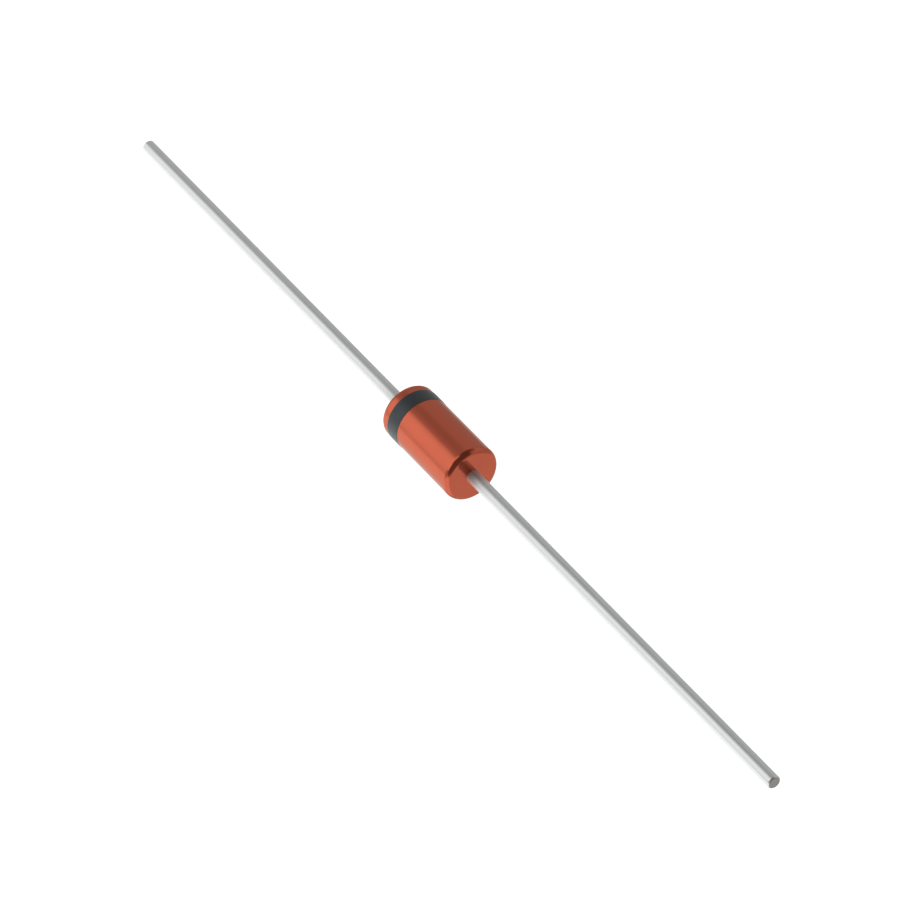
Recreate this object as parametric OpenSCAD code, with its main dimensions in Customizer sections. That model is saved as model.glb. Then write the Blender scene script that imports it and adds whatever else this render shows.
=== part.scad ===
// Zener diode in an axial-lead glass package of the DO-35 size, with its sealed inner pieces.
// X runs along the leads: the cathode and its painted band are at -X, the anode is at +X.
// The origin is the centre of the glass body, on the axis of the leads. Sizes are in millimetres.

/* [Glass body] */
// Outer diameter of the glass body
body_d = 2.0; // [1.6:0.05:2.3]
// Length of the glass body, from end face to end face
body_len = 4.0; // [3.2:0.05:5]
// Radius of the fire-polished shoulder between the side and each end face
shoulder_r = 0.2; // [0.05:0.01:0.3]
// Thickness of the glass over the outer end of each slug
end_wall = 0.3; // [0.2:0.02:0.5]

/* [Cathode band] */
// Width of the painted band along the body
band_w = 0.6; // [0.3:0.05:0.9]
// Distance from the cathode end face to the band
band_inset = 0.4; // [0.32:0.01:0.8]
// Thickness of the paint film
band_film = 0.02; // [0.01:0.005:0.04]

/* [Leads] */
// Diameter of the tinned lead wire
lead_d = 0.46; // [0.4:0.01:0.56]
// Length of each lead, from the glass to its cut end
lead_len = 17; // [10:0.5:38]
// Bevel that the cutter leaves round each lead's end
tip_bevel = 0.04; // [0.01:0.01:0.1]

/* [Slugs] */
// Diameter of the slugs that clamp the die
slug_d = 0.8; // [0.7:0.02:1]
// Radius of the tumbled edges of a slug
slug_edge_r = 0.06; // [0.02:0.01:0.1]
// Length of the weld that joins a slug to its lead
weld_len = 0.2; // [0.1:0.01:0.28]
// How far the weld stands out round the lead where it meets the slug
weld_flash = 0.08; // [0.02:0.01:0.1]

/* [Silicon die] */
// Side of the square die
die_side = 0.36; // [0.25:0.01:0.45]
// Thickness of the die
die_t = 0.2; // [0.12:0.01:0.3]
// Diameter of the silver contact bump where it is plated on the anode side of the die
bump_d = 0.24; // [0.2:0.01:0.25]
// Diameter of the flat that the slug presses on the bump's dome
bump_flat_d = 0.14; // [0.08:0.01:0.18]
// Height of the contact bump
bump_h = 0.06; // [0.03:0.005:0.08]

/* [Hidden] */

$fn = 96;

body_r = body_d / 2;
lead_r = lead_d / 2;
slug_r = slug_d / 2;

// Stations along the axis, for the anode half. The cathode half mirrors them.
body_end = body_len / 2;
slug_outer = body_end - end_wall;
slug_inner = (die_t + bump_h) / 2;
weld_end = slug_outer + weld_len;
lead_end = body_end + lead_len;

// Stations of the pieces between the slugs
die_back = -slug_inner;
die_front = die_back + die_t;

// The bump's dome is part of a sphere, centred this far behind the front of the die.
bump_r = bump_d / 2;
bump_flat_r = bump_flat_d / 2;
dome_depth = (bump_r * bump_r - bump_flat_r * bump_flat_r - bump_h * bump_h) / (2 * bump_h);
dome_r = norm([bump_r, dome_depth]);

// Edge of the band nearer the cathode end
band_start = -body_end + band_inset;

glass_colour = "#C8502F";
paint_colour = "#2E3536";
tin_colour = "#C9CBC8";
slug_colour = "#9C4A32";
silicon_colour = "#5B6068";
silver_colour = "#DCDCD8";

// Turns a half section into a solid about the X axis: x is the radius and y the place along the axis.
module turned() {
    rotate([0, 90, 0]) rotate_extrude() children();
}

// Shows its children at the anode end, or mirrored to the cathode end.
module at_end(cathode) {
    mirror([cathode ? 1 : 0, 0, 0]) children();
}

// Half section of a round bar whose end edges are rounded
module rounded_bar(radius, from, to, edge_r) {
    translate([0, from]) square([radius - edge_r, to - from]);
    translate([0, from + edge_r]) square([radius, to - from - 2 * edge_r]);
    for (edge = [from + edge_r, to - edge_r])
        translate([radius - edge_r, edge]) circle(r = edge_r);
}

// Half section of the anode slug, with the weld that stands on its outer face
module slug_section() {
    rounded_bar(slug_r, slug_inner, slug_outer, slug_edge_r);
    polygon([[0, slug_outer], [lead_r + weld_flash, slug_outer], [lead_r, weld_end], [0, weld_end]]);
}

// Half section of the anode lead, from its weld to its bevelled cut end
module lead_section() {
    polygon([[0, weld_end], [lead_r, weld_end], [lead_r, lead_end - tip_bevel],
             [lead_r - tip_bevel, lead_end], [0, lead_end]]);
}

// Half section of what the glass closes round: both slugs, both leads and the chamber of the die
module sealed_section() {
    chamber = slug_inner + slug_edge_r;
    translate([0, -chamber]) square([slug_r, 2 * chamber]);
    for (end = [0, 1]) mirror([0, end]) {
        slug_section();
        lead_section();
    }
}

module glass_envelope() {
    color(glass_colour) turned() difference() {
        rounded_bar(body_r, -body_end, body_end, shoulder_r);
        sealed_section();
    }
}

module cathode_band() {
    color(paint_colour) turned() translate([body_r, band_start]) square([band_film, band_w]);
}

module slug(cathode) {
    color(slug_colour) at_end(cathode) turned() slug_section();
}

module lead(cathode) {
    color(tin_colour) at_end(cathode) turned() lead_section();
}

module zener_die() {
    color(silicon_colour) translate([die_back, -die_side / 2, -die_side / 2])
        cube([die_t, die_side, die_side]);
}

module contact_bump() {
    color(silver_colour) turned() intersection() {
        translate([0, die_front - dome_depth]) circle(r = dome_r);
        translate([0, die_front]) square([dome_r, bump_h]);
    }
}

glass_envelope();
cathode_band();
slug(cathode = true);  // cathode_slug
slug(cathode = false);  // anode_slug
lead(cathode = true);  // cathode_lead
lead(cathode = false);  // anode_lead
zener_die();
contact_bump();
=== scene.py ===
"""Looks of an axial-lead glass zener diode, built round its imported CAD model.

Every piece that shows is a surface of revolution about X, worked out with numpy from sizes that are
measured on the CAD nodes. Lengths are in metres, unless a name says millimetres.
"""
import math

import bpy
import numpy as np
from bpy.props import FloatProperty, FloatVectorProperty, IntProperty, PointerProperty
from bpy.types import NodeSocket, Operator, Panel, PropertyGroup
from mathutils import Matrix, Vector


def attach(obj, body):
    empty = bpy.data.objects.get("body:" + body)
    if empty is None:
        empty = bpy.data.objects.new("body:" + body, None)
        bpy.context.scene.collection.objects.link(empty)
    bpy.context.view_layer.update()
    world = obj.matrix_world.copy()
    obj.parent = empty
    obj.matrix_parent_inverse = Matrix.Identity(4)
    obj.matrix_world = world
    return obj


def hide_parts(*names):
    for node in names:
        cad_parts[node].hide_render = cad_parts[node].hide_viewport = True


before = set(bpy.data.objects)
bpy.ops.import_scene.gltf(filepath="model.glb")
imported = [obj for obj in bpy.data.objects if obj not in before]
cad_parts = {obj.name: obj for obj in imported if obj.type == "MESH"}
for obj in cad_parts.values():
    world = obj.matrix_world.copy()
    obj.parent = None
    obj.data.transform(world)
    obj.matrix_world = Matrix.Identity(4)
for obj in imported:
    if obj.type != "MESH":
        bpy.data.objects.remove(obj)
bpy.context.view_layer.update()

bl_info = {
    "name": "Axial glass zener diode",
    "version": (1, 0, 0),
    "blender": (4, 5, 0),
    "location": "View3D > Sidebar > Diode",
    "description": "Dresses the CAD model of an axial-lead zener diode and sets up its studio",
    "category": "Object",
}

BODY = "root"
MM = 0.001

# Profile points closer than this are one point, and CAD vertices closer than this to a place are at it
SAME_POINT = 1e-6 * MM
AT_PLACE = 0.001 * MM

# Distance of the supporting rings from the ends of a straight stretch of a profile, and of a short one
RING_MARGIN = 0.01 * MM
SHORT_MARGIN = 0.002 * MM

# Edges that turn by more than this stay sharp
SHARP_TURN = math.radians(30)

# Range in which most values of a noise texture lie
NOISE_LOW, NOISE_HIGH = 0.3, 0.7

# How far the roughness drifts either way on a polished finish, and on a grained one
GLOSS_DRIFT = 0.02
GRAIN_DRIFT = 0.1

# Metallic share of the tin plate, how far along a lead the heat of the seal reached and the painted
# shade at its root reaches, and how much the heat roughened the tin there and took from its metallic
# share
TIN_METALLIC = 0.75
HEAT_AND_SHADE_REACH = 1.6 * MM
HEAT_DULLING = 0.15

# Share of a lead's radius that its steel core fills, and half the width of the seam round it
CORE_SHARE = 0.8
CORE_SEAM = 0.01

# Width and height of the picture in pixels, and the width of the camera's sensor in millimetres
PICTURE = 900
SENSOR_MM = 36.0

# Lowest level of the light from any side
DARKEST = 0.09

# Soft lights and dark flags round the part, seen from it: azimuth and elevation of the middle, angle
# out to which it is full, angle at which it has faded out (all in degrees), and the level it adds
STUDIO_LIGHTS = (
    ("floor", 0, -90, 70, 85, 0.22),
    ("left softbox", -45, 20, 5, 30, 0.60),
    ("top softbox", -35, 50, 12, 20, 0.40),
    ("strip light", -10, 25, 10, 20, 0.60),
    ("right softbox", 165, 45, 15, 35, 0.10),
    ("left floor bounce", -50, -30, 10, 40, 0.45),
    ("far floor bounce", -110, -45, 15, 30, 0.35),
    ("front floor bounce", 25, -45, 25, 45, 0.35),
    ("camera side in shade", 58, 30, 45, 53, -0.34),
    ("near end in shade", 100, 50, 15, 35, -0.10),
    ("overhead in shade", 180, 80, 20, 35, -0.35),
    ("overhead gap", -90, 65, 5, 25, -0.15),
)


# Measures of the CAD model

def measured(node):
    """Place along X and distance from the X axis of every vertex of a CAD node."""
    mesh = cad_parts[node].data
    flat = np.empty(len(mesh.vertices) * 3, np.float32)
    mesh.vertices.foreach_get("co", flat)
    x, y, z = flat.reshape(-1, 3).T.astype(float)
    return x, np.hypot(y, z)


def full_width(x, radius):
    """Lowest and highest X at which a turned node has its full radius, to one part in 10,000."""
    full = x[radius > radius.max() * 0.9999]
    return full.min(), full.max()


def radii_at(place, x, radius):
    """Radii of the vertices that a turned node has at one place along X."""
    return radius[np.abs(x - place) < AT_PLACE]


GLASS = measured("glass_envelope")
LEAD = measured("anode_lead")
SLUG = measured("anode_slug")
BAND = measured("cathode_band")
BODY_END = GLASS[0].max()
BODY_RADIUS = GLASS[1].max()
LEAD_END = LEAD[0].max()
SLUG_EDGE = full_width(*SLUG)[0] - SLUG[0].min()
SLUG_OUTER = full_width(*SLUG)[1] + SLUG_EDGE


# Settings that a user would change

def length(name, description, default):
    """A size in metres."""
    return FloatProperty(name=name, description=description, default=default, min=0.0,
                         subtype="DISTANCE", unit="LENGTH", precision=6)


def turn(name, description, default):
    """An angle, given in degrees."""
    return FloatProperty(name=name, description=description, default=math.radians(default),
                         subtype="ANGLE", unit="ROTATION")


def share(name, description, default):
    """A number from 0 to 1."""
    return FloatProperty(name=name, description=description, default=default, min=0.0, max=1.0,
                         subtype="FACTOR")


def linear(hex_colour):
    """Linear RGBA of an sRGB hex colour."""
    value = np.array([int(hex_colour[i:i + 2], 16) for i in (1, 3, 5)]) / 255
    light = np.where(value <= 0.04045, value / 12.92, ((value + 0.055) / 1.055) ** 2.4)
    return (*light.tolist(), 1.0)


def colour(name, description, hex_colour):
    """A colour, given as an sRGB hex value."""
    return FloatVectorProperty(name=name, description=description, default=linear(hex_colour),
                               size=4, min=0.0, max=1.0, subtype="COLOR")


class DiodeSizes(PropertyGroup):
    """Sizes of the pieces, measured on the CAD model."""
    body_radius: length("Body radius", "Outer radius of the glass body", BODY_RADIUS)
    body_end: length("Body end", "Distance from the middle to each end face", BODY_END)
    shoulder: length("Shoulder", "Radius of the fire-polished shoulders",
                     BODY_RADIUS - radii_at(BODY_END, *GLASS).max())
    lead_radius: length("Lead radius", "Radius of the lead wire", LEAD[1].max())
    lead_end: length("Lead end", "Distance from the middle to each cut end", LEAD_END)
    tip_bevel: length("Tip bevel", "Bevel round each cut end", LEAD_END - full_width(*LEAD)[1])
    weld_end: length("Weld end", "Distance from the middle to the outer end of each weld",
                     SLUG[0].max())
    weld_radius: length("Weld radius", "Radius of the weld where it meets its slug",
                        radii_at(SLUG_OUTER, *SLUG).min())
    slug_radius: length("Slug radius", "Radius of the slugs", SLUG[1].max())
    slug_outer: length("Slug outer face", "Distance from the middle to a slug's outer face",
                       SLUG_OUTER)
    slug_edge: length("Slug edge", "Radius of the tumbled edges of a slug", SLUG_EDGE)
    band_near: length("Band inner edge", "Distance from the middle to the band", -BAND[0].max())
    band_far: length("Band outer edge", "Distance from the middle to the band's far edge",
                     -BAND[0].min())
    band_film: length("Band film", "Thickness of the paint film that shows", 0.008 * MM)
    band_wander: length("Band wander", "How far the edges of the paint stray from true",
                        0.006 * MM)
    segments: IntProperty(name="Segments", description="Faces round each turned piece",
                          default=256, min=24, subtype="UNSIGNED")


class DiodeFinishes(PropertyGroup):
    """Colours and gloss of the finishes."""
    glass: colour("Glass", "Body colour where the light is full", "#D96747")
    glass_deep: colour("Deep glass", "Body colour where the glass is thicker", "#D15F41")
    glass_edge: colour("Glass edge", "Tint of the body's reflections at a flat angle", "#CBC2B5")
    glass_roughness: share("Glass roughness", "Roughness of the metal seen through the glass", 0.08)
    tin: colour("Tin", "Bright tin plate", "#F0F2F1")
    tin_dull: colour("Dull tin", "Tin plate that has begun to dull", "#E9EBEA")
    # Painted shade: a darker tin for the lead's root, where it meets the glass
    tin_root_shade: colour("Tin in painted shade", "Tin plate that the heat of the seal has dulled", "#E1E2E0")
    tin_roughness: share("Tin roughness", "Roughness of the tin plate", 0.28)
    paint: colour("Band paint", "Marking paint", "#323B3E")
    copper: colour("Copper", "Clean copper", "#B8694A")
    copper_oxide: colour("Copper oxide", "Oxidised copper", "#7A3B28")
    steel: colour("Steel", "Sheared steel core of a lead", "#A9A8A4")
    silicon: colour("Silicon", "Lapped silicon", "#4A4E57")
    silver: colour("Silver", "Plated silver", "#E6E4DF")


class DiodeStudio(PropertyGroup):
    """Camera, floor and light."""
    azimuth: turn("Azimuth", "Camera's turn about Z, from -Y towards +X", 57.97)
    elevation: turn("Elevation", "Camera's height above the level", 39.53)
    distance: length("Distance", "Camera's distance from the middle of the part", 178.8 * MM)
    focal_length: FloatProperty(name="Lens", description="Focal length in millimetres",
                                default=221.2, subtype="DISTANCE_CAMERA", unit="CAMERA")
    centre_right: FloatProperty(name="Middle, across", default=439.6, subtype="PIXEL",
                                description="Pixel column of the middle of the part")
    centre_down: FloatProperty(name="Middle, down", default=442.3, subtype="PIXEL",
                               description="Pixel row of the middle of the part")
    light_level: share("Light level", "Level of the room light between the softboxes", 0.45)
    floor_drop: length("Floor drop", "Depth of the floor below the part", 30 * MM)
    floor_side: length("Floor side", "Side of the square floor", 4.0)


# Shapes

def straight(start, end, margin=RING_MARGIN):
    """Straight stretch of a profile, from start to end, with a ring a margin in from each of them."""
    start, end = np.array(start), np.array(end)
    step = (end - start) / np.linalg.norm(end - start) * margin
    return np.stack((start, start + step, end - step, end))


def rounded(centre, radii, from_degrees, to_degrees, points=24):
    """Arc of an ellipse: centre plus (first radius times cosine, second radius times sine)."""
    angle = np.radians(np.linspace(from_degrees, to_degrees, points))
    return np.array(centre) + np.array(radii) * np.stack((np.cos(angle), np.sin(angle)), axis=-1)


def joined(*stretches):
    """Stretches of a profile one after the other, with each shared point kept once."""
    points = np.concatenate(stretches)
    moved = np.linalg.norm(np.diff(points, axis=0), axis=1) > SAME_POINT
    return points[np.concatenate(([True], moved))]


def mirrored(profile):
    """The profile at the other end of the part, in the order that keeps its faces outward."""
    return profile[::-1] * (-1, 1)


def turned_mesh(name, profile, segments, loop=False, shift=0.0, finish=None):
    """Surface of revolution about X of a profile of (x, radius) points.

    At place s of the profile and angle t round the axis it is (x(s) + shift(s, t), radius(s) cos t,
    radius(s) sin t). A ring on the axis is one vertex. A loop's last ring joins its first. finish
    gives the material index of the faces between each ring and the next.
    """
    rings = len(profile)
    angle = np.linspace(0, 2 * np.pi, segments, endpoint=False)
    x = np.broadcast_to(profile[:, :1] + shift, (rings, segments))
    points = np.stack((x, profile[:, 1:] * np.cos(angle), profile[:, 1:] * np.sin(angle)), axis=-1)

    index = np.arange(rings * segments).reshape(rings, segments)
    on_axis = profile[:, 1] < SAME_POINT
    index[on_axis] = index[on_axis, :1]
    here = index if loop else index[:-1]
    there = np.roll(index, -1, axis=0) if loop else index[1:]
    quads = np.stack((here, np.roll(here, -1, axis=1), np.roll(there, -1, axis=1), there), axis=-1)
    kept, quads = np.unique(quads, return_inverse=True)
    quads = quads.reshape(-1, 4)
    from_pole = quads[:, 0] == quads[:, 1]
    to_pole = quads[:, 2] == quads[:, 3]
    whole = ~(from_pole | to_pole)
    faces = (quads[whole].tolist() + quads[from_pole][:, [0, 2, 3]].tolist()
             + quads[to_pole][:, :3].tolist())

    mesh = bpy.data.meshes.new(name)
    mesh.from_pydata(points.reshape(-1, 3)[kept], [], faces)
    if finish is not None:
        slots = np.repeat(finish, segments)
        slots = np.concatenate((slots[whole], slots[from_pole], slots[to_pole]))
        mesh.polygons.foreach_set("material_index", slots.astype(np.int32))
    mesh.shade_smooth()
    mesh.set_sharp_from_angle(angle=SHARP_TURN)
    mesh.update()
    return mesh


def glass_profile(sizes):
    """Section of the glass sleeve: its outside, its end faces, and inside what it has flowed round.

    The anode half runs from the middle of the outside to the middle of the inside, and its mirror
    image closes the loop.
    """
    flat = sizes.body_radius - sizes.shoulder
    side_end = sizes.body_end - sizes.shoulder
    slug_side = sizes.slug_outer - sizes.slug_edge
    slug_flat = sizes.slug_radius - sizes.slug_edge
    half = joined(
        straight((0, sizes.body_radius), (side_end, sizes.body_radius)),
        rounded((side_end, flat), (sizes.shoulder, sizes.shoulder), 90, 0),
        straight((sizes.body_end, flat), (sizes.body_end, sizes.lead_radius)),
        straight((sizes.body_end, sizes.lead_radius), (sizes.weld_end, sizes.lead_radius)),
        straight((sizes.weld_end, sizes.lead_radius), (sizes.slug_outer, sizes.weld_radius)),
        straight((sizes.slug_outer, sizes.weld_radius), (sizes.slug_outer, slug_flat), SHORT_MARGIN),
        rounded((slug_side, slug_flat), (sizes.slug_edge, sizes.slug_edge), 0, 90, points=8),
        straight((slug_side, sizes.slug_radius), (0, sizes.slug_radius)),
    )
    return np.concatenate((half, mirrored(half)[1:-1]))


def lead_profile(sizes):
    """Section of the anode lead, from the axis at its weld to the axis at its cut end."""
    side_end = sizes.lead_end - sizes.tip_bevel
    flat = sizes.lead_radius - sizes.tip_bevel
    return joined(
        straight((sizes.weld_end, 0), (sizes.weld_end, sizes.lead_radius)),
        straight((sizes.weld_end, sizes.lead_radius), (side_end, sizes.lead_radius)),
        straight((side_end, sizes.lead_radius), (sizes.lead_end, flat)),
        straight((sizes.lead_end, flat), (sizes.lead_end, 0)),
    )


def band_profile(sizes):
    """Section of the paint film: its foot is sunk in the glass, and its edges thin out."""
    edge = 0.04 * MM
    sunk = 0.01 * MM
    foot = sizes.body_radius - sunk
    crest = sizes.body_radius + sizes.band_film
    start, end = -sizes.band_far, -sizes.band_near
    return joined(
        straight((start, foot), (start, sizes.body_radius), SHORT_MARGIN),
        rounded((start + edge, sizes.body_radius), (edge, sizes.band_film), 180, 90, points=10),
        straight((start + edge, crest), (end - edge, crest)),
        rounded((end - edge, sizes.body_radius), (edge, sizes.band_film), 90, 0, points=10),
        straight((end, sizes.body_radius), (end, foot), SHORT_MARGIN),
    )


def brush_wander(profile, segments, reach):
    """Slow drift of the band's edges round the body, by reach at most.

    Each edge has a sum of three sines of the angle, a slow wave and two quicker and smaller ones.
    """
    angle = np.linspace(0, 2 * np.pi, segments, endpoint=False)
    outer = 0.5 * np.sin(3 * angle + 0.4) + 0.3 * np.sin(7 * angle + 2.1) + 0.2 * np.sin(16 * angle)
    inner = 0.5 * np.sin(2 * angle + 1.9) + 0.3 * np.sin(9 * angle) + 0.2 * np.sin(19 * angle + 0.8)
    near_outer = profile[:, :1] < profile[:, 0].mean()
    return reach * np.where(near_outer, outer, inner)


def place_piece(name, mesh, nodes, materials):
    """Puts a mesh in the scene in place of its CAD nodes, on the part's one body."""
    piece = bpy.data.objects.new(name, mesh)
    bpy.context.scene.collection.objects.link(piece)
    for material in materials:
        mesh.materials.append(material)
    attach(piece, BODY)
    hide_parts(*nodes)


# Materials

def add(tree, kind, inputs=None, **settings):
    """Adds a node: settings are its own, and each input gets a value or a link from a socket."""
    node = tree.nodes.new(kind)
    for name, value in settings.items():
        setattr(node, name, value)
    for name, value in (inputs or {}).items():
        if isinstance(value, NodeSocket):
            tree.links.new(value, node.inputs[name])
        else:
            node.inputs[name].default_value = value
    return node


def blank_material(name):
    """A material with an empty node tree."""
    material = bpy.data.materials.new(name)
    material.use_nodes = True
    material.node_tree.nodes.clear()
    return material, material.node_tree


def per(millimetres):
    """Scale of a noise whose grains are that wide, on coordinates in metres."""
    return 1 / (millimetres * MM)


def at_level(tone, level):
    """A colour at a share of its brightness, or at a multiple of it."""
    return tuple(level * channel for channel in tone[:3]) + (1.0,)


def fused_glass(finishes):
    """Orange-red sealing glass, drawn to a tube and fire-polished on to a copper-red metal layer.

    The metal under the glass mirrors the studio in its own colour, a clear skin lies over it, and
    faint cords run along the draw. Real cords are finer; they are drawn 0.2 mm wide to show.
    """
    material, tree = blank_material("Sealing glass, drawn and fire-polished")
    place = add(tree, "ShaderNodeTexCoord").outputs["Object"]
    along = add(tree, "ShaderNodeMapping", {"Vector": place, "Scale": (per(6), per(0.2), per(0.2))})
    cords = add(tree, "ShaderNodeTexNoise", {"Vector": along.outputs["Vector"], "Scale": 1.0,
                                             "Detail": 2.0, "Roughness": 0.5})
    depth = add(tree, "ShaderNodeTexNoise", {"Vector": place, "Scale": per(1.1), "Detail": 3.0})
    tone = add(tree, "ShaderNodeMix", {"Factor": depth.outputs["Fac"], "A": finishes.glass,
                                       "B": finishes.glass_deep}, data_type="RGBA")
    gloss = add(tree, "ShaderNodeMapRange", {"Value": cords.outputs["Fac"],
                                             "From Min": NOISE_LOW, "From Max": NOISE_HIGH,
                                             "To Min": finishes.glass_roughness - GLOSS_DRIFT,
                                             "To Max": finishes.glass_roughness + GLOSS_DRIFT})
    relief = add(tree, "ShaderNodeBump", {"Height": cords.outputs["Fac"], "Strength": 0.2,
                                          "Distance": 0.001 * MM})
    surface = add(tree, "ShaderNodeBsdfPrincipled", {
        "Base Color": tone.outputs["Result"], "Metallic": 0.85,
        "Roughness": gloss.outputs["Result"], "Normal": relief.outputs["Normal"],
        "Specular Tint": finishes.glass_edge, "Coat Weight": 0.45, "Coat Roughness": 0.03,
        "Coat IOR": 1.5})
    add(tree, "ShaderNodeOutputMaterial", {"Surface": surface.outputs["BSDF"]})
    return material


def tin_plate(finishes, body_end):
    """Bright tin on drawn wire: a soft mirror with die lines along the wire and dull patches.

    Close to the glass the heat of the seal has left it duller and less bare, and there its colour is
    darkened as painted shade where the lead meets the glass. Real die lines are a few micrometres
    wide; they are drawn 0.03 mm wide to show.
    """
    material, tree = blank_material("Tin plate on drawn wire")
    place = add(tree, "ShaderNodeTexCoord").outputs["Object"]
    along = add(tree, "ShaderNodeMapping", {"Vector": place,
                                            "Scale": (per(5), per(0.03), per(0.03))})
    lines = add(tree, "ShaderNodeTexNoise", {"Vector": along.outputs["Vector"], "Scale": 1.0,
                                             "Detail": 2.0})
    patches = add(tree, "ShaderNodeTexNoise", {"Vector": place, "Scale": per(0.9), "Detail": 4.0})
    tone = add(tree, "ShaderNodeMix", {"Factor": patches.outputs["Fac"], "A": finishes.tin,
                                       "B": finishes.tin_dull}, data_type="RGBA")
    gloss = add(tree, "ShaderNodeMapRange", {"Value": lines.outputs["Fac"],
                                             "From Min": NOISE_LOW, "From Max": NOISE_HIGH,
                                             "To Min": finishes.tin_roughness - GLOSS_DRIFT,
                                             "To Max": finishes.tin_roughness + GLOSS_DRIFT})
    relief = add(tree, "ShaderNodeBump", {"Height": lines.outputs["Fac"], "Strength": 0.1,
                                          "Distance": 0.0005 * MM})
    station = add(tree, "ShaderNodeSeparateXYZ", {"Vector": place}).outputs["X"]
    outward = add(tree, "ShaderNodeMath", {0: station}, operation="ABSOLUTE").outputs["Value"]
    # Share of heat dulling and of painted root shade, from 1 at the glass to 0 further out
    heat_and_root_shade = add(tree, "ShaderNodeMapRange", {"Value": outward, "From Min": body_end,
                                              "From Max": body_end + HEAT_AND_SHADE_REACH,
                                              "To Min": 1.0, "To Max": 0.0},
                 interpolation_type="SMOOTHSTEP").outputs["Result"]
    # Painted shade: the tin darkens towards the glass, standing in for the shade where the lead meets
    # the body
    painted_root_shade = add(tree, "ShaderNodeMix", {"Factor": heat_and_root_shade, "A": tone.outputs["Result"],
                                            "B": finishes.tin_root_shade}, data_type="RGBA")
    dulled = add(tree, "ShaderNodeMath", {0: heat_and_root_shade, 1: HEAT_DULLING, 2: gloss.outputs["Result"]},
                 operation="MULTIPLY_ADD")
    bare = add(tree, "ShaderNodeMath", {0: heat_and_root_shade, 1: -HEAT_DULLING, 2: TIN_METALLIC},
               operation="MULTIPLY_ADD")
    surface = add(tree, "ShaderNodeBsdfPrincipled", {
        "Base Color": painted_root_shade.outputs["Result"], "Metallic": bare.outputs["Value"],
        "Roughness": dulled.outputs["Value"], "Normal": relief.outputs["Normal"]})
    add(tree, "ShaderNodeOutputMaterial", {"Surface": surface.outputs["BSDF"]})
    return material


def sheared_wire(finishes, wire_radius):
    """Copper-clad steel, sheared: a grey core inside a ring of copper, with the cutter's drag lines."""
    material, tree = blank_material("Copper-clad steel, sheared")
    place = add(tree, "ShaderNodeTexCoord").outputs["Object"]
    across = add(tree, "ShaderNodeVectorMath", {0: place, 1: (0, 1, 1)}, operation="MULTIPLY")
    reach = add(tree, "ShaderNodeVectorMath", {0: across.outputs["Vector"]}, operation="LENGTH")
    cladding = add(tree, "ShaderNodeMapRange", {"Value": reach.outputs["Value"],
                                                "From Min": (CORE_SHARE - CORE_SEAM) * wire_radius,
                                                "From Max": (CORE_SHARE + CORE_SEAM) * wire_radius})
    tone = add(tree, "ShaderNodeMix", {"Factor": cladding.outputs["Result"], "A": finishes.steel,
                                       "B": finishes.copper}, data_type="RGBA")
    dragged = add(tree, "ShaderNodeMapping", {"Vector": place,
                                              "Scale": (per(1), per(0.02), per(0.4))})
    drag = add(tree, "ShaderNodeTexNoise", {"Vector": dragged.outputs["Vector"], "Scale": 1.0,
                                            "Detail": 3.0})
    gloss = add(tree, "ShaderNodeMapRange", {"Value": drag.outputs["Fac"], "To Min": 0.25,
                                             "To Max": 0.5})
    relief = add(tree, "ShaderNodeBump", {"Height": drag.outputs["Fac"], "Strength": 0.5,
                                          "Distance": 0.002 * MM})
    surface = add(tree, "ShaderNodeBsdfPrincipled", {
        "Base Color": tone.outputs["Result"], "Metallic": 1.0,
        "Roughness": gloss.outputs["Result"], "Normal": relief.outputs["Normal"]})
    add(tree, "ShaderNodeOutputMaterial", {"Surface": surface.outputs["BSDF"]})
    return material


def marking_paint(finishes):
    """Baked slate marking paint, rolled on: satin, with the fine orange peel of a thin film."""
    material, tree = blank_material("Baked marking paint, rolled on")
    place = add(tree, "ShaderNodeTexCoord").outputs["Object"]
    peel = add(tree, "ShaderNodeTexNoise", {"Vector": place, "Scale": per(0.06), "Detail": 2.0})
    cover = add(tree, "ShaderNodeTexNoise", {"Vector": place, "Scale": per(0.5), "Detail": 3.0})
    thin = at_level(finishes.paint, 1.25)
    tone = add(tree, "ShaderNodeMix", {"Factor": cover.outputs["Fac"], "A": finishes.paint,
                                       "B": thin}, data_type="RGBA")
    gloss = add(tree, "ShaderNodeMapRange", {"Value": peel.outputs["Fac"],
                                             "From Min": NOISE_LOW, "From Max": NOISE_HIGH,
                                             "To Min": 0.3, "To Max": 0.42})
    relief = add(tree, "ShaderNodeBump", {"Height": peel.outputs["Fac"], "Strength": 0.25,
                                          "Distance": 0.002 * MM})
    surface = add(tree, "ShaderNodeBsdfPrincipled", {
        "Base Color": tone.outputs["Result"], "Roughness": gloss.outputs["Result"],
        "Normal": relief.outputs["Normal"], "IOR": 1.5})
    add(tree, "ShaderNodeOutputMaterial", {"Surface": surface.outputs["BSDF"]})
    return material


def grained_metal(name, first, second, grain_mm, roughness, metallic=1.0):
    """A lapped, plated or oxidised surface whose tone and gloss drift from grain to grain."""
    material, tree = blank_material(name)
    place = add(tree, "ShaderNodeTexCoord").outputs["Object"]
    grain = add(tree, "ShaderNodeTexNoise", {"Vector": place, "Scale": per(grain_mm), "Detail": 4.0})
    tone = add(tree, "ShaderNodeMix", {"Factor": grain.outputs["Fac"], "A": first, "B": second},
               data_type="RGBA")
    gloss = add(tree, "ShaderNodeMapRange", {"Value": grain.outputs["Fac"],
                                             "To Min": roughness - GRAIN_DRIFT,
                                             "To Max": roughness + GRAIN_DRIFT})
    relief = add(tree, "ShaderNodeBump", {"Height": grain.outputs["Fac"], "Strength": 0.3,
                                          "Distance": 0.002 * MM})
    surface = add(tree, "ShaderNodeBsdfPrincipled", {
        "Base Color": tone.outputs["Result"], "Metallic": metallic,
        "Roughness": gloss.outputs["Result"], "Normal": relief.outputs["Normal"]})
    add(tree, "ShaderNodeOutputMaterial", {"Surface": surface.outputs["BSDF"]})
    return material


# Studio

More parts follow.
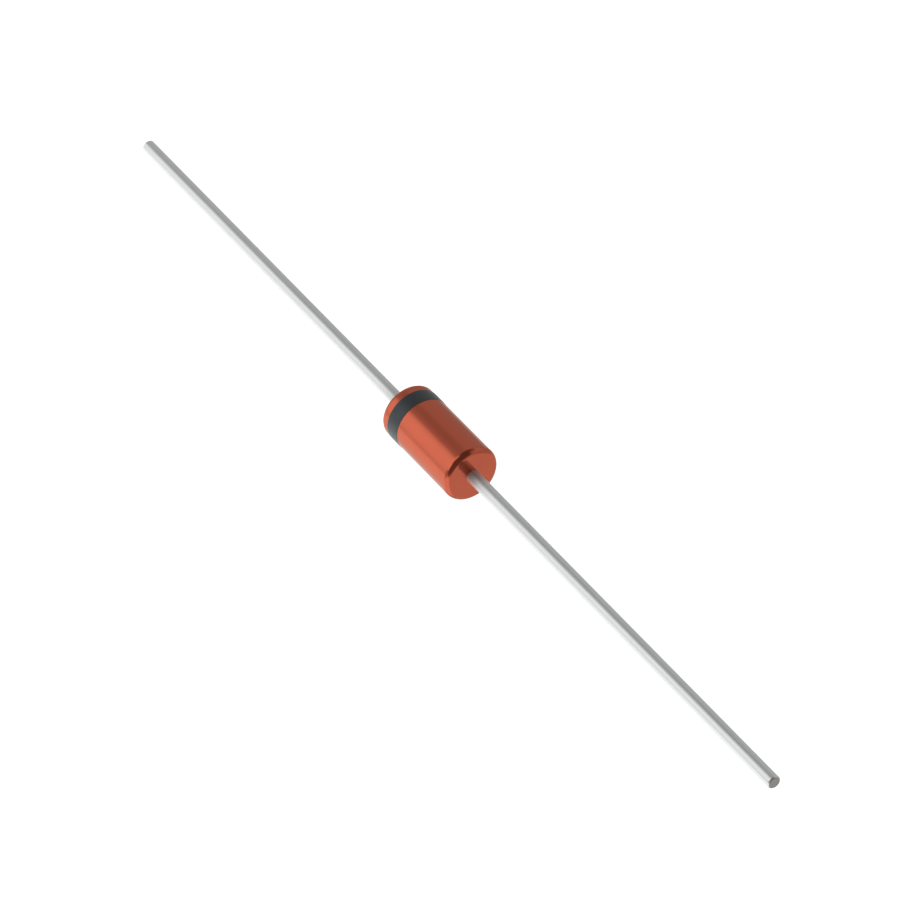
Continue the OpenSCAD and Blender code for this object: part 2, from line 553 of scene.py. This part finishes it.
WHITE = linear("#FFFFFF")


def facing(azimuth, elevation):
    """Unit vector from the part towards a place in the studio: azimuth is from -Y towards +X."""
    return Vector((math.sin(azimuth) * math.cos(elevation),
                   -math.cos(azimuth) * math.cos(elevation), math.sin(elevation)))


def studio_light(level):
    """World light: an even level, plus each soft light's level where the direction is near its own.

    A light's share goes smoothly from 1 to 0 between its two angles, worked out on the cosine. The
    camera itself sees plain white.
    """
    world = bpy.data.worlds.new("Studio")
    world.use_nodes = True
    tree = world.node_tree
    tree.nodes.clear()
    direction = add(tree, "ShaderNodeTexCoord").outputs["Generated"]
    total = level
    for name, azimuth, elevation, full, faded, adds in STUDIO_LIGHTS:
        middle = facing(math.radians(azimuth), math.radians(elevation))
        near = add(tree, "ShaderNodeVectorMath", {0: direction, 1: middle},
                   operation="DOT_PRODUCT", label=name)
        part = add(tree, "ShaderNodeMapRange", {"Value": near.outputs["Value"],
                                                "From Min": math.cos(math.radians(faded)),
                                                "From Max": math.cos(math.radians(full)),
                                                "To Min": 0.0, "To Max": adds},
                   interpolation_type="SMOOTHSTEP")
        total = add(tree, "ShaderNodeMath", {0: total, 1: part.outputs["Result"]},
                    operation="ADD").outputs["Value"]
    total = add(tree, "ShaderNodeMath", {0: total, 1: DARKEST}, operation="MAXIMUM").outputs["Value"]
    lit = add(tree, "ShaderNodeBackground", {"Color": WHITE, "Strength": total})
    white = add(tree, "ShaderNodeBackground", {"Color": WHITE, "Strength": 1.0})
    seen = add(tree, "ShaderNodeLightPath").outputs["Is Camera Ray"]
    mixed = add(tree, "ShaderNodeMixShader", {0: seen, 1: lit.outputs["Background"],
                                              2: white.outputs["Background"]})
    add(tree, "ShaderNodeOutputWorld", {"Surface": mixed.outputs["Shader"]})
    return world


def white_paper():
    """Matt white studio paper, lit from below so that it burns out, and see-through from beneath."""
    material, tree = blank_material("Studio paper, lit through")
    place = add(tree, "ShaderNodeTexCoord").outputs["Object"]
    fibre = add(tree, "ShaderNodeTexNoise", {"Vector": place, "Scale": per(3), "Detail": 3.0})
    tone = add(tree, "ShaderNodeMix", {"Factor": fibre.outputs["Fac"], "A": linear("#FCFCFC"),
                                       "B": WHITE}, data_type="RGBA")
    paper = add(tree, "ShaderNodeBsdfPrincipled", {
        "Base Color": tone.outputs["Result"], "Roughness": 0.9, "Specular IOR Level": 0.0,
        "Emission Color": WHITE, "Emission Strength": 0.8})
    clear = add(tree, "ShaderNodeBsdfTransparent")
    below = add(tree, "ShaderNodeNewGeometry").outputs["Backfacing"]
    surface = add(tree, "ShaderNodeMixShader", {0: below, 1: paper.outputs["BSDF"],
                                                2: clear.outputs["BSDF"]})
    add(tree, "ShaderNodeOutputMaterial", {"Surface": surface.outputs["Shader"]})
    return material


# Operators

class DIODE_OT_glass_envelope(Operator):
    """Turn the glass sleeve that is fused over the slugs and the roots of the leads"""
    bl_idname = "diode.glass_envelope"
    bl_label = "Glass envelope"

    def execute(self, context):
        sizes = context.scene.diode_sizes
        mesh = turned_mesh("glass_sleeve", glass_profile(sizes), sizes.segments, loop=True)
        place_piece("glass_sleeve", mesh, ["glass_envelope"],
                    [fused_glass(context.scene.diode_finishes)])
        return {"FINISHED"}


class DIODE_OT_cathode_band(Operator):
    """Lay the paint film of the cathode band round the glass"""
    bl_idname = "diode.cathode_band"
    bl_label = "Cathode band"

    def execute(self, context):
        sizes = context.scene.diode_sizes
        profile = band_profile(sizes)
        drift = brush_wander(profile, sizes.segments, sizes.band_wander)
        mesh = turned_mesh("band_film", profile, sizes.segments, loop=True, shift=drift)
        place_piece("band_film", mesh, ["cathode_band"],
                    [marking_paint(context.scene.diode_finishes)])
        return {"FINISHED"}


class DIODE_OT_leads(Operator):
    """Draw both lead wires, from their welds to their sheared ends"""
    bl_idname = "diode.leads"
    bl_label = "Leads"

    def execute(self, context):
        sizes = context.scene.diode_sizes
        finishes = context.scene.diode_finishes
        materials = [tin_plate(finishes, sizes.body_end), sheared_wire(finishes, sizes.lead_radius)]
        anode = lead_profile(sizes)
        for end, profile in (("anode", anode), ("cathode", mirrored(anode))):
            # Only the flat end is sheared: the bevel keeps its tin
            inboard = np.minimum(np.abs(profile[:-1, 0]), np.abs(profile[1:, 0]))
            sheared = inboard > sizes.lead_end - 0.5 * sizes.tip_bevel
            mesh = turned_mesh(f"{end}_wire", profile, sizes.segments, finish=sheared)
            place_piece(f"{end}_wire", mesh, [f"{end}_lead"], materials)
        return {"FINISHED"}


class DIODE_OT_inner_pieces(Operator):
    """Give the sealed pieces, which keep their CAD shapes, the finishes of the real ones"""
    bl_idname = "diode.inner_pieces"
    bl_label = "Inner pieces"

    def execute(self, context):
        finishes = context.scene.diode_finishes
        # Copper that went dark red as the glass was sealed to it
        slug = grained_metal("Copper cladding, oxidised", finishes.copper, finishes.copper_oxide,
                             grain_mm=0.08, roughness=0.45)
        # Lapped flat, so it is a dim grey mirror with fine scratches
        die = grained_metal("Silicon, lapped", finishes.silicon, at_level(finishes.silicon, 0.8),
                            grain_mm=0.03, roughness=0.25, metallic=0.6)
        # Plated from a bath, so it is bright but matt
        bump = grained_metal("Silver, bath-plated", finishes.silver, at_level(finishes.silver, 0.85),
                             grain_mm=0.02, roughness=0.35)
        finish_of = {"cathode_slug": slug, "anode_slug": slug, "zener_die": die,
                     "contact_bump": bump}
        for node, material in finish_of.items():
            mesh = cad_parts[node].data
            mesh.materials.clear()
            mesh.materials.append(material)
        return {"FINISHED"}


class DIODE_OT_studio(Operator):
    """Set the floor, the soft light and the camera"""
    bl_idname = "diode.studio"
    bl_label = "Studio"

    def execute(self, context):
        scene = context.scene
        studio = scene.diode_studio
        scene.world = studio_light(studio.light_level)
        scene.view_settings.view_transform = "Standard"

        half = studio.floor_side / 2
        corners = np.array([(-half, -half), (half, -half), (half, half), (-half, half)])
        heights = np.full((4, 1), -studio.floor_drop)
        mesh = bpy.data.meshes.new("floor")
        mesh.from_pydata(np.hstack((corners, heights)), [], [(0, 1, 2, 3)])
        mesh.materials.append(white_paper())
        floor = bpy.data.objects.new("floor", mesh)
        floor.visible_glossy = False
        scene.collection.objects.link(floor)

        lens = bpy.data.cameras.new("camera")
        lens.sensor_width = SENSOR_MM
        lens.lens = studio.focal_length
        lens.shift_x = 0.5 - studio.centre_right / PICTURE
        lens.shift_y = studio.centre_down / PICTURE - 0.5
        lens.clip_start = 10 * MM
        lens.clip_end = 10.0
        camera = bpy.data.objects.new("camera", lens)
        towards = facing(studio.azimuth, studio.elevation)
        camera.location = towards * studio.distance
        camera.rotation_euler = (-towards).to_track_quat("-Z", "Y").to_euler()
        scene.collection.objects.link(camera)
        scene.camera = camera
        return {"FINISHED"}


class DIODE_PT_panel(Panel):
    """Lists the steps and the settings"""
    bl_idname = "DIODE_PT_panel"
    bl_label = "Zener diode"
    bl_space_type = "VIEW_3D"
    bl_region_type = "UI"
    bl_category = "Diode"

    def draw(self, context):
        for operator in OPERATORS:
            self.layout.operator(operator.bl_idname)
        for name, group in SETTINGS.items():
            box = self.layout.box()
            box.label(text=group.__name__.removeprefix("Diode"))
            for setting in group.__annotations__:
                box.prop(getattr(context.scene, name), setting)


OPERATORS = (DIODE_OT_glass_envelope, DIODE_OT_cathode_band, DIODE_OT_leads,
             DIODE_OT_inner_pieces, DIODE_OT_studio)
SETTINGS = {"diode_sizes": DiodeSizes, "diode_finishes": DiodeFinishes,
            "diode_studio": DiodeStudio}
CLASSES = (*SETTINGS.values(), *OPERATORS, DIODE_PT_panel)


def register():
    """Registers the classes and gives every scene the settings."""
    for cls in CLASSES:
        bpy.utils.register_class(cls)
    for name, group in SETTINGS.items():
        setattr(bpy.types.Scene, name, PointerProperty(type=group))


def unregister():
    """Takes the settings and the classes away again."""
    for name in SETTINGS:
        delattr(bpy.types.Scene, name)
    for cls in reversed(CLASSES):
        bpy.utils.unregister_class(cls)


def main():
    """Builds everything."""
    register()
    bpy.ops.diode.glass_envelope()
    bpy.ops.diode.cathode_band()
    bpy.ops.diode.leads()
    bpy.ops.diode.inner_pieces()
    bpy.ops.diode.studio()


if __name__ == "__main__":
    main()
